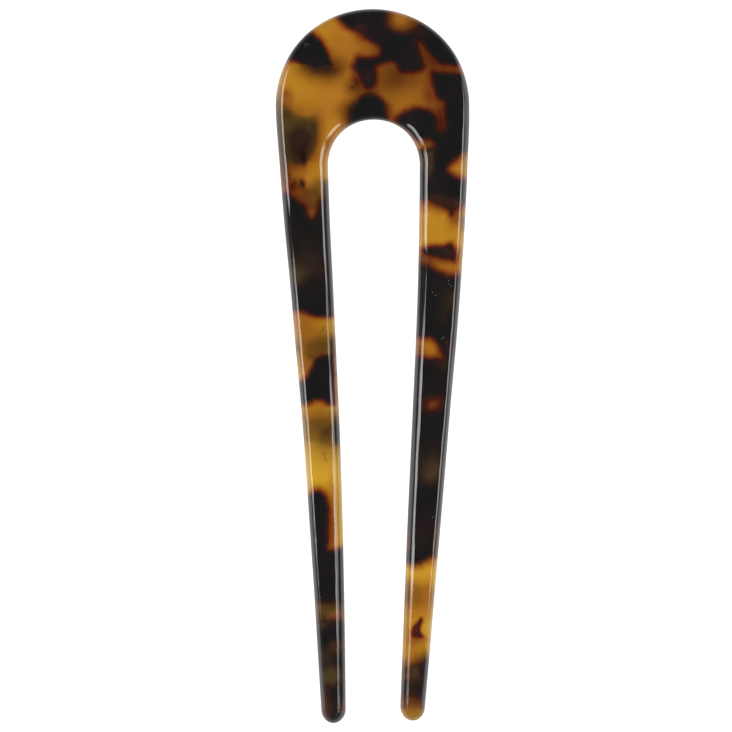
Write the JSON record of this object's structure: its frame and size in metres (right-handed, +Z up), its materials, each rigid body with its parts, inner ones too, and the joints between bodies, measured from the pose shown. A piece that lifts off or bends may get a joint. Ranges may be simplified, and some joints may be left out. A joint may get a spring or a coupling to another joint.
{
  "type": "french hair pin",
  "caption": "One-piece U-shaped hair pin of flat tortoiseshell acetate: a broad rounded arch and long tapering prongs with polished round edges, slid into a twist of hair.",
  "frame": {"origin": "on the back face, under the middle of the outline's box, with the pin lying on its back", "axes": "+Y along the pin from the prong tips to the arch, +Z up through the sheet from the back face to the front face, +X to the right as seen from the front with the arch up"},
  "size_m": [0.0354, 0.13, 0.004],
  "materials": {
    "tortoiseshell": "polished, mottled amber and near-black"
  },
  "bodies": {
    "root": {"hair_pin": "tortoiseshell"}
  },
  "joints": []
}
